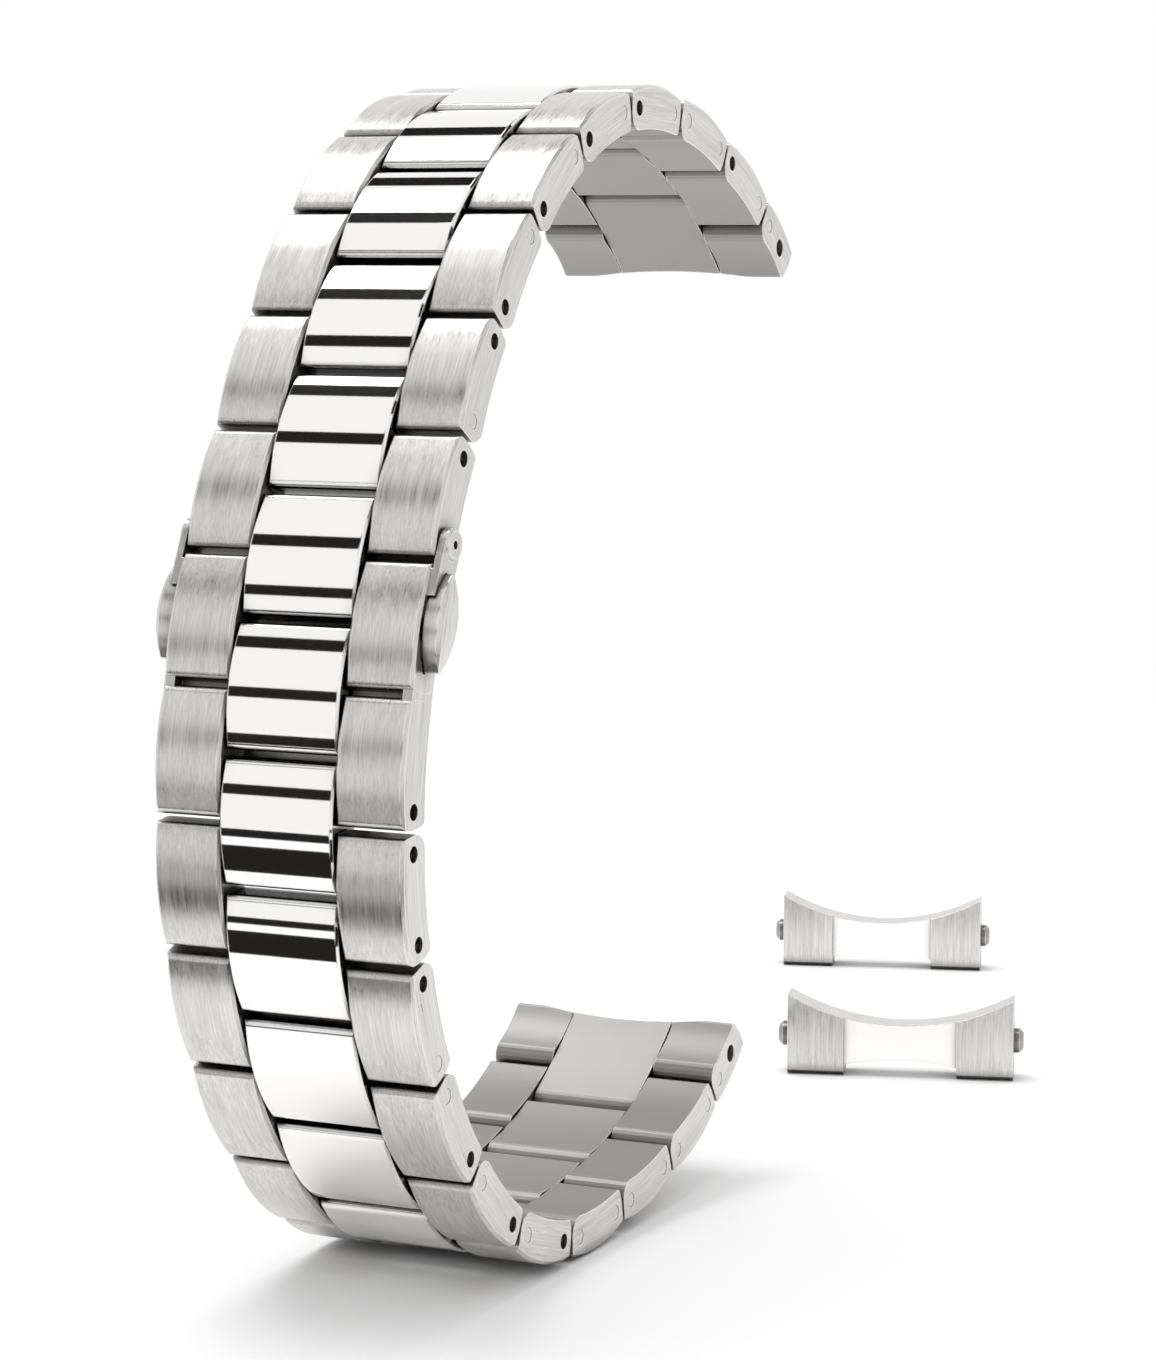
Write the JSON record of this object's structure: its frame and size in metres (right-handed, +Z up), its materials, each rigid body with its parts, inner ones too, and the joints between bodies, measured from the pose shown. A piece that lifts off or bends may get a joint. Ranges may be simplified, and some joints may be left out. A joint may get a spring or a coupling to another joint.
{
  "type": "metal watch bracelet",
  "caption": "Three-row steel watch bracelet in an open curve on hinged links, with a push-button folding clasp and two separate curved end links with sprung stubs.",
  "frame": {"origin": "on the floor, under the middle of the whole set's bounding box", "axes": "+Z up; +Y from the clasp to the loose end links, the set's longest extent; +X along the band's pins and spring-bar bores"},
  "size_m": [0.0403, 0.1452, 0.0852],
  "materials": {
    "blade": "satin",
    "brushed_link": "brushed along the band, with polished edges",
    "button": "polished dome",
    "clasp_cover": "brushed along the band, with satin sides",
    "loose_end_link": "brushed wings and a polished strip",
    "pin": "satin",
    "plunger": "turned",
    "polished_link": "polished outside, brushed inside",
    "spring": "drawn wire"
  },
  "bodies": {
    "clasp_cover": {"clasp_cover": "clasp_cover", "clasp_bridge": "polished_link", "cover_pins": "pin", "button_springs": "spring"},
    "left_button": {"left_button": "button"},
    "right_button": {"right_button": "button"},
    "inner_blade": {"inner_blade": "blade", "blade_hinge_pin": "pin"},
    "base_blade": {"base_blade": "blade", "blade_end_pin": "pin"},
    "upper_centre_link_1": {"upper_centre_link_1": "polished_link"},
    "upper_outer_links_1": {"upper_outer_links_1": "brushed_link"},
    "upper_centre_link_2": {"upper_centre_link_2": "polished_link"},
    "upper_outer_links_2": {"upper_outer_links_2": "brushed_link"},
    "upper_centre_link_3": {"upper_centre_link_3": "polished_link"},
    "upper_outer_links_3": {"upper_outer_links_3": "brushed_link"},
    "upper_centre_link_4": {"upper_centre_link_4": "polished_link"},
    "upper_outer_links_4": {"upper_outer_links_4": "brushed_link"},
    "upper_centre_link_5": {"upper_centre_link_5": "polished_link"},
    "upper_outer_links_5": {"upper_outer_links_5": "brushed_link"},
    "upper_centre_link_6": {"upper_centre_link_6": "polished_link"},
    "upper_outer_links_6": {"upper_outer_links_6": "brushed_link"},
    "upper_centre_link_7": {"upper_centre_link_7": "polished_link"},
    "upper_outer_links_7": {"upper_outer_links_7": "brushed_link"},
    "upper_centre_link_8": {"upper_centre_link_8": "polished_link"},
    "upper_outer_links_8": {"upper_outer_links_8": "brushed_link"},
    "upper_end": {"upper_end_centre": "polished_link", "upper_end_sides": "brushed_link"},
    "lower_centre_link_1": {"lower_centre_link_1": "polished_link"},
    "lower_outer_links_1": {"lower_outer_links_1": "brushed_link"},
    "lower_centre_link_2": {"lower_centre_link_2": "polished_link"},
    "lower_outer_links_2": {"lower_outer_links_2": "brushed_link"},
    "lower_centre_link_3": {"lower_centre_link_3": "polished_link"},
    "lower_outer_links_3": {"lower_outer_links_3": "brushed_link"},
    "lower_centre_link_4": {"lower_centre_link_4": "polished_link"},
    "lower_outer_links_4": {"lower_outer_links_4": "brushed_link"},
    "lower_centre_link_5": {"lower_centre_link_5": "polished_link"},
    "lower_outer_links_5": {"lower_outer_links_5": "brushed_link"},
    "lower_centre_link_6": {"lower_centre_link_6": "polished_link"},
    "lower_outer_links_6": {"lower_outer_links_6": "brushed_link"},
    "lower_centre_link_7": {"lower_centre_link_7": "polished_link"},
    "lower_outer_links_7": {"lower_outer_links_7": "brushed_link"},
    "lower_centre_link_8": {"lower_centre_link_8": "polished_link"},
    "lower_outer_links_8": {"lower_outer_links_8": "brushed_link"},
    "lower_end": {"lower_end_centre": "polished_link", "lower_end_sides": "brushed_link"},
    "near_end_link": {"near_end_link": "loose_end_link", "near_bar_spring": "spring"},
    "near_left_plunger": {"near_left_plunger": "plunger"},
    "near_right_plunger": {"near_right_plunger": "plunger"},
    "far_end_link": {"far_end_link": "loose_end_link", "far_bar_spring": "spring"},
    "far_left_plunger": {"far_left_plunger": "plunger"},
    "far_right_plunger": {"far_right_plunger": "plunger"}
  },
  "joints": [
    {"name": "clasp_fold", "type": "hinge", "parent": "clasp_cover", "child": "inner_blade", "pos_m": [0, -0.0661, 0.04653], "axis": [1, 0, 0], "range_deg": [0, 165]},
    {"name": "clasp_unfold", "type": "hinge", "parent": "inner_blade", "child": "base_blade", "pos_m": [0, -0.06736, 0.0359], "axis": [1, 0, 0], "range_deg": [-165, 0]},
    {"name": "left_button_press", "type": "slide", "parent": "clasp_cover", "child": "left_button", "axis": [1, 0, 0], "range_m": [0, 0.0006], "stiffness_N_per_m": 600, "springref_m": -0.0004},
    {"name": "right_button_press", "type": "slide", "parent": "clasp_cover", "child": "right_button", "axis": [-1, 0, 0], "range_m": [0, 0.0006], "stiffness_N_per_m": 600, "springref_m": -0.0004},
    {"name": "blade_end_hinge", "type": "hinge", "parent": "base_blade", "child": "upper_centre_link_1", "pos_m": [0, -0.06509, 0.05203], "axis": [1, 0, 0], "range_deg": [-11, 3]},
    {"name": "upper_outer_links_1_turn", "type": "hinge", "parent": "upper_centre_link_1", "child": "upper_outer_links_1", "pos_m": [0, -0.06611, 0.05399], "axis": [1, 0, 0], "range_deg": [-11, 8]},
    {"name": "upper_centre_link_2_turn", "type": "hinge", "parent": "upper_outer_links_1", "child": "upper_centre_link_2", "pos_m": [0, -0.0633, 0.05951], "axis": [1, 0, 0], "range_deg": [-12.5, 6.5]},
    {"name": "upper_outer_links_2_turn", "type": "hinge", "parent": "upper_centre_link_2", "child": "upper_outer_links_2", "pos_m": [0, -0.06192, 0.06195], "axis": [1, 0, 0], "range_deg": [-12.5, 6.5]},
    {"name": "upper_centre_link_3_turn", "type": "hinge", "parent": "upper_outer_links_2", "child": "upper_centre_link_3", "pos_m": [0, -0.05863, 0.06721], "axis": [1, 0, 0], "range_deg": [-11, 8]},
    {"name": "upper_outer_links_3_turn", "type": "hinge", "parent": "upper_centre_link_3", "child": "upper_outer_links_3", "pos_m": [0, -0.05699, 0.06947], "axis": [1, 0, 0], "range_deg": [-11, 8]},
    {"name": "upper_centre_link_4_turn", "type": "hinge", "parent": "upper_outer_links_3", "child": "upper_centre_link_4", "pos_m": [0, -0.053, 0.07422], "axis": [1, 0, 0], "range_deg": [-8, 11]},
    {"name": "upper_outer_links_4_turn", "type": "hinge", "parent": "upper_centre_link_4", "child": "upper_outer_links_4", "pos_m": [0, -0.05095, 0.07613], "axis": [1, 0, 0], "range_deg": [-8, 11]},
    {"name": "upper_centre_link_5_turn", "type": "hinge", "parent": "upper_outer_links_4", "child": "upper_centre_link_5", "pos_m": [0, -0.04594, 0.07977], "axis": [1, 0, 0], "range_deg": [-6.5, 12.5]},
    {"name": "upper_outer_links_5_turn", "type": "hinge", "parent": "upper_centre_link_5", "child": "upper_outer_links_5", "pos_m": [0, -0.04345, 0.08107], "axis": [1, 0, 0], "range_deg": [-6.5, 12.5]},
    {"name": "upper_centre_link_6_turn", "type": "hinge", "parent": "upper_outer_links_5", "child": "upper_centre_link_6", "pos_m": [0, -0.03759, 0.08309], "axis": [1, 0, 0], "range_deg": [-4.5, 14.5]},
    {"name": "upper_outer_links_6_turn", "type": "hinge", "parent": "upper_centre_link_6", "child": "upper_outer_links_6", "pos_m": [0, -0.03482, 0.0835], "axis": [1, 0, 0], "range_deg": [-4.5, 14.5]},
    {"name": "upper_centre_link_7_turn", "type": "hinge", "parent": "upper_outer_links_6", "child": "upper_centre_link_7", "pos_m": [0, -0.02863, 0.08328], "axis": [1, 0, 0], "range_deg": [-7, 12]},
    {"name": "upper_outer_links_7_turn", "type": "hinge", "parent": "upper_centre_link_7", "child": "upper_outer_links_7", "pos_m": [0, -0.02587, 0.0828], "axis": [1, 0, 0], "range_deg": [-7, 12]},
    {"name": "upper_centre_link_8_turn", "type": "hinge", "parent": "upper_outer_links_7", "child": "upper_centre_link_8", "pos_m": [0, -0.01997, 0.08088], "axis": [1, 0, 0], "range_deg": [-9.5, 9.5]},
    {"name": "upper_outer_links_8_turn", "type": "hinge", "parent": "upper_centre_link_8", "child": "upper_outer_links_8", "pos_m": [0, -0.0174, 0.07977], "axis": [1, 0, 0], "range_deg": [-9.5, 9.5]},
    {"name": "upper_end_turn", "type": "hinge", "parent": "upper_outer_links_8", "child": "upper_end", "pos_m": [0, -0.01198, 0.07676], "axis": [1, 0, 0], "range_deg": [-5, 14]},
    {"name": "lower_centre_link_1_turn", "type": "hinge", "parent": "clasp_cover", "child": "lower_centre_link_1", "pos_m": [0, -0.07074, 0.03669], "axis": [1, 0, 0], "range_deg": [-11, 8]},
    {"name": "lower_outer_links_1_turn", "type": "hinge", "parent": "lower_centre_link_1", "child": "lower_outer_links_1", "pos_m": [0, -0.07079, 0.03389], "axis": [1, 0, 0], "range_deg": [-11, 8]},
    {"name": "lower_centre_link_2_turn", "type": "hinge", "parent": "lower_outer_links_1", "child": "lower_centre_link_2", "pos_m": [0, -0.07014, 0.02772], "axis": [1, 0, 0], "range_deg": [-11, 8]},
    {"name": "lower_outer_links_2_turn", "type": "hinge", "parent": "lower_centre_link_2", "child": "lower_outer_links_2", "pos_m": [0, -0.06951, 0.02499], "axis": [1, 0, 0], "range_deg": [-11, 8]},
    {"name": "lower_centre_link_3_turn", "type": "hinge", "parent": "lower_outer_links_2", "child": "lower_centre_link_3", "pos_m": [0, -0.06739, 0.01917], "axis": [1, 0, 0], "range_deg": [-11, 8]},
    {"name": "lower_outer_links_3_turn", "type": "hinge", "parent": "lower_centre_link_3", "child": "lower_outer_links_3", "pos_m": [0, -0.06612, 0.01667], "axis": [1, 0, 0], "range_deg": [-11, 8]},
    {"name": "lower_centre_link_4_turn", "type": "hinge", "parent": "lower_outer_links_3", "child": "lower_centre_link_4", "pos_m": [0, -0.06265, 0.01153], "axis": [1, 0, 0], "range_deg": [-11.5, 7.5]},
    {"name": "lower_outer_links_4_turn", "type": "hinge", "parent": "lower_centre_link_4", "child": "lower_outer_links_4", "pos_m": [0, -0.0608, 0.00943], "axis": [1, 0, 0], "range_deg": [-11.5, 7.5]},
    {"name": "lower_centre_link_5_turn", "type": "hinge", "parent": "lower_outer_links_4", "child": "lower_centre_link_5", "pos_m": [0, -0.05612, 0.00537], "axis": [1, 0, 0], "range_deg": [-15.5, 3.5]},
    {"name": "lower_outer_links_5_turn", "type": "hinge", "parent": "lower_centre_link_5", "child": "lower_outer_links_5", "pos_m": [0, -0.05368, 0.00399], "axis": [1, 0, 0], "range_deg": [-15.5, 3.5]},
    {"name": "lower_centre_link_6_turn", "type": "hinge", "parent": "lower_outer_links_5", "child": "lower_centre_link_6", "pos_m": [0, -0.04778, 0.00207], "axis": [1, 0, 0], "range_deg": [-14.5, 4.5]},
    {"name": "lower_outer_links_6_turn", "type": "hinge", "parent": "lower_centre_link_6", "child": "lower_outer_links_6", "pos_m": [0, -0.04501, 0.00171], "axis": [1, 0, 0], "range_deg": [-14.5, 4.5]},
    {"name": "lower_centre_link_7_turn", "type": "hinge", "parent": "lower_outer_links_6", "child": "lower_centre_link_7", "pos_m": [0, -0.03882, 0.00203], "axis": [1, 0, 0], "range_deg": [-7.5, 11.5]},
    {"name": "lower_outer_links_7_turn", "type": "hinge", "parent": "lower_centre_link_7", "child": "lower_outer_links_7", "pos_m": [0, -0.03603, 0.00235], "axis": [1, 0, 0], "range_deg": [-7.5, 11.5]},
    {"name": "lower_centre_link_8_turn", "type": "hinge", "parent": "lower_outer_links_7", "child": "lower_centre_link_8", "pos_m": [0, -0.02993, 0.00342], "axis": [1, 0, 0], "range_deg": [-10, 9]},
    {"name": "lower_outer_links_8_turn", "type": "hinge", "parent": "lower_centre_link_8", "child": "lower_outer_links_8", "pos_m": [0, -0.02724, 0.0042], "axis": [1, 0, 0], "range_deg": [-10, 9]},
    {"name": "lower_end_turn", "type": "hinge", "parent": "lower_outer_links_8", "child": "lower_end", "pos_m": [0, -0.02149, 0.00652], "axis": [1, 0, 0], "range_deg": [-17, 2]},
    {"name": "near_end_link_lift", "type": "slide", "parent": "clasp_cover", "child": "near_end_link", "axis": [0, 0, 1], "range_m": [0, 0.06]},
    {"name": "near_left_plunger_press", "type": "slide", "parent": "near_end_link", "child": "near_left_plunger", "axis": [0.9613, 0.2756, 0], "range_m": [0, 0.00085], "stiffness_N_per_m": 300, "springref_m": -0.0003},
    {"name": "near_right_plunger_press", "type": "slide", "parent": "near_end_link", "child": "near_right_plunger", "axis": [-0.9613, -0.2756, 0], "range_m": [0, 0.00085], "stiffness_N_per_m": 300, "springref_m": -0.0003},
    {"name": "far_end_link_lift", "type": "slide", "parent": "clasp_cover", "child": "far_end_link", "axis": [0, 0, 1], "range_m": [0, 0.06]},
    {"name": "far_left_plunger_press", "type": "slide", "parent": "far_end_link", "child": "far_left_plunger", "axis": [0.9613, 0.2756, 0], "range_m": [0, 0.00085], "stiffness_N_per_m": 300, "springref_m": -0.0003},
    {"name": "far_right_plunger_press", "type": "slide", "parent": "far_end_link", "child": "far_right_plunger", "axis": [-0.9613, -0.2756, 0], "range_m": [0, 0.00085], "stiffness_N_per_m": 300, "springref_m": -0.0003}
  ],
  "couplings": [
    {"joint": "clasp_unfold", "follows": "clasp_fold", "ratio": -1}
  ]
}
